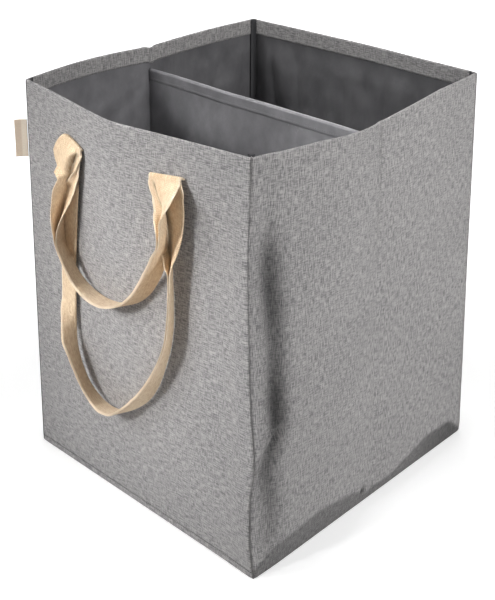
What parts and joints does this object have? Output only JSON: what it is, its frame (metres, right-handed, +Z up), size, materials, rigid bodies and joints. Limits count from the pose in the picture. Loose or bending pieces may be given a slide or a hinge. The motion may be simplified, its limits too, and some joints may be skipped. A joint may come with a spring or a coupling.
{
  "type": "laundry hamper with two bins",
  "caption": "Square soft-sided laundry hamper with a divider down the middle, stiffened fabric walls and hanging webbing handles on two faces.",
  "frame": {"origin": "middle of the flat underside, on the surface the hamper stands on", "axes": "+Z up; the handle faces look along -Y and +Y; the plain faces look along -X and +X; the divider stands in the plane y = 0"},
  "size_m": [0.4049, 0.4728, 0.501],
  "materials": {
    "melange_cloth": "woven melange grey cloth, matt",
    "lining_cloth": "coated dark grey lining, slight sheen",
    "stiff_board": "thin stiffening board, matt",
    "binding_tape": "dark woven binding tape",
    "webbing": "natural cotton webbing, matt",
    "tab_ribbon": "bare folded ribbon, matt"
  },
  "bodies": {
    "bag": {"front_panel": "melange_cloth", "back_panel": "melange_cloth", "right_panel": "melange_cloth", "left_panel": "melange_cloth", "base_panel": "melange_cloth", "front_lining": "lining_cloth", "back_lining": "lining_cloth", "right_lining": "lining_cloth", "left_lining": "lining_cloth", "floor_lining": "lining_cloth", "divider_front_ply": "lining_cloth", "divider_rear_ply": "lining_cloth", "divider_top_binding": "lining_cloth", "front_board": "stiff_board", "back_board": "stiff_board", "right_front_board": "stiff_board", "right_rear_board": "stiff_board", "left_front_board": "stiff_board", "left_rear_board": "stiff_board", "divider_board": "stiff_board", "front_left_corner_binding": "binding_tape", "front_right_corner_binding": "binding_tape", "rear_left_corner_binding": "binding_tape", "rear_right_corner_binding": "binding_tape", "front_short_handle_left_end": "webbing", "front_short_handle_right_end": "webbing", "front_long_handle_left_end": "webbing", "front_long_handle_right_end": "webbing", "back_short_handle_left_end": "webbing", "back_short_handle_right_end": "webbing", "back_long_handle_left_end": "webbing", "back_long_handle_right_end": "webbing", "corner_tab": "tab_ribbon"},
    "front_short_handle": {"front_short_handle": "webbing"},
    "front_long_handle": {"front_long_handle": "webbing"},
    "back_short_handle": {"back_short_handle": "webbing"},
    "back_long_handle": {"back_long_handle": "webbing"},
    "front_bottom": {"front_bottom_board": "stiff_board"},
    "rear_bottom": {"rear_bottom_board": "stiff_board"}
  },
  "joints": [
    {"name": "front_long_swing", "type": "hinge", "parent": "bag", "child": "front_long_handle", "pos_m": [0, -0.21286, 0.46], "axis": [-1, 0, 0], "range_deg": [0, 165]},
    {"name": "front_short_swing", "type": "hinge", "parent": "bag", "child": "front_short_handle", "pos_m": [0, -0.21286, 0.46], "axis": [-1, 0, 0], "range_deg": [0, 165]},
    {"name": "back_long_swing", "type": "hinge", "parent": "bag", "child": "back_long_handle", "pos_m": [0, 0.19784, 0.46], "axis": [1, 0, 0], "range_deg": [0, 165]},
    {"name": "back_short_swing", "type": "hinge", "parent": "bag", "child": "back_short_handle", "pos_m": [0, 0.19784, 0.46], "axis": [1, 0, 0], "range_deg": [0, 165]},
    {"name": "front_bottom_lift", "type": "hinge", "parent": "bag", "child": "front_bottom", "pos_m": [0, -0.0052, 0.0019], "axis": [-1, 0, 0], "range_deg": [0, 80]},
    {"name": "rear_bottom_lift", "type": "hinge", "parent": "bag", "child": "rear_bottom", "pos_m": [0, 0.0052, 0.0019], "axis": [1, 0, 0], "range_deg": [0, 80]}
  ],
  "couplings": [
    {"joint": "front_short_swing", "follows": "front_long_swing", "ratio": 1},
    {"joint": "back_short_swing", "follows": "back_long_swing", "ratio": 1}
  ]
}
